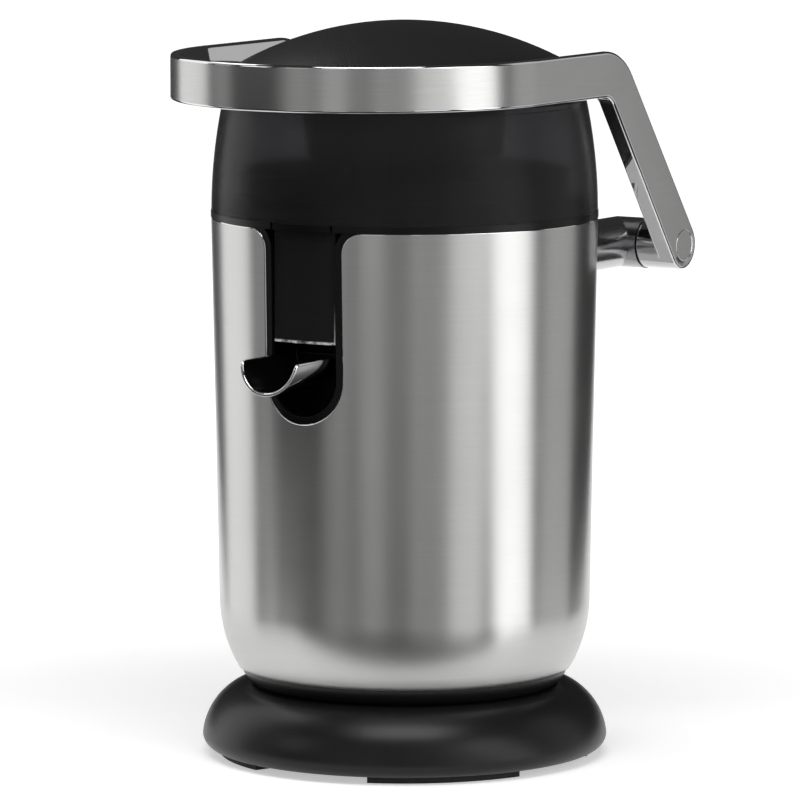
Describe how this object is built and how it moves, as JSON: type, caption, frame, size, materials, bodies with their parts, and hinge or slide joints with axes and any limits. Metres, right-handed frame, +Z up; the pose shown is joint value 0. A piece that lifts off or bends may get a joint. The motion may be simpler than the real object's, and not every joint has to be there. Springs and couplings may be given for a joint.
{
  "type": "citrus press juicer",
  "caption": "Lever citrus press: round brushed steel body on a domed base, smoked juice bowl with a spout, and a U-shaped lever with a press dome, hinged at the rear.",
  "frame": {"origin": "under the middle of the outline, on the plane the feet stand on; the axis of the round body is 3.3 mm behind it", "axes": "+Z up, -Y to the front where the spout and the handle are, +Y to the hinge, +X to the right seen from the front"},
  "size_m": [0.1684, 0.2116, 0.305],
  "materials": {
    "brushed_stainless": "brushed across, satin",
    "polished_chrome": "polished",
    "satin_aluminium": "satin grey outside, polished edges",
    "black_satin": "fine texture, satin",
    "black_trim": "moulded satin",
    "smoked_clear": "smoked, translucent, glossy",
    "black_rubber": "matt",
    "dark_plastic": "moulded",
    "white_nylon": "moulded",
    "machined_steel": "turned",
    "zinc_steel": "zinc plated",
    "bronze_bush": "sintered",
    "ferrite": "fired"
  },
  "bodies": {
    "stand": {"base_shell": "black_satin", "base_cover": "dark_plastic", "base_screws": "zinc_steel", "rubber_feet": "black_rubber", "cord_gland": "black_rubber", "lower_collar": "dark_plastic", "body_shell": "brushed_stainless", "top_trim_ring": "black_trim", "window_frame": "black_trim", "inner_housing": "dark_plastic", "spout_bay": "black_trim", "spout_pins": "machined_steel", "juice_collector": "smoked_clear", "strainer": "dark_plastic", "shaft_bush": "bronze_bush", "shaft_seal": "black_rubber", "idler_pin": "machined_steel", "motor_can": "zinc_steel", "motor_bushes": "bronze_bush", "motor_magnets": "ferrite", "motor_screws": "zinc_steel", "gearbox_housing": "dark_plastic", "gearbox_cover": "dark_plastic", "gearbox_screws": "zinc_steel", "microswitch": "dark_plastic", "switch_bracket": "zinc_steel", "pivot_pins": "machined_steel", "hinge_lug_right": "polished_chrome", "hinge_lug_left": "polished_chrome", "hinge_plate": "zinc_steel", "lug_bolts": "zinc_steel"},
    "lever": {"lever_yoke": "satin_aluminium", "press_dome": "black_satin", "press_cup": "dark_plastic", "pin_caps": "polished_chrome", "pivot_bushes": "white_nylon", "dome_screws": "zinc_steel"},
    "gear_wheel": {"output_gear": "white_nylon", "return_spring": "machined_steel"},
    "reamer": {"reamer_cone": "black_satin", "drive_shaft": "machined_steel"},
    "idler": {"idler_gear": "white_nylon"},
    "rotor": {"motor_rotor": "machined_steel", "motor_pinion": "machined_steel"},
    "pouring_spout": {"spout": "polished_chrome"},
    "plunger": {"switch_plunger": "white_nylon"}
  },
  "joints": [
    {"name": "lever_hinge", "type": "hinge", "parent": "stand", "child": "lever", "pos_m": [0, 0.0952, 0.2083], "axis": [-1, 0, 0], "range_deg": [0, 80]},
    {"name": "reamer_spin", "type": "hinge", "parent": "stand", "child": "gear_wheel", "pos_m": [0, 0.0033, 0.173], "axis": [0, 0, 1], "continuous": true},
    {"name": "reamer_press", "type": "slide", "parent": "gear_wheel", "child": "reamer", "axis": [0, 0, -1], "range_m": [0, 0.0025], "stiffness_N_per_m": 1500, "springref_m": -0.002, "deforming": ["return_spring"]},
    {"name": "idler_spin", "type": "hinge", "parent": "stand", "child": "idler", "pos_m": [0, 0.0358, 0.165], "axis": [0, 0, 1], "continuous": true},
    {"name": "rotor_spin", "type": "hinge", "parent": "stand", "child": "rotor", "pos_m": [-0.02382, 0.02205, 0.12], "axis": [0, 0, 1], "continuous": true},
    {"name": "plunger_press", "type": "slide", "parent": "stand", "child": "plunger", "axis": [0, 0, -1], "range_m": [0, 0.0025]},
    {"name": "spout_tilt", "type": "hinge", "parent": "stand", "child": "pouring_spout", "pos_m": [0, -0.0627, 0.17], "axis": [-1, 0, 0], "range_deg": [0, 20]}
  ],
  "couplings": [
    {"joint": "idler_spin", "follows": "rotor_spin", "ratio": -0.25},
    {"joint": "reamer_spin", "follows": "rotor_spin", "ratio": 0.075},
    {"joint": "plunger_press", "follows": "reamer_press", "ratio": 1}
  ]
}
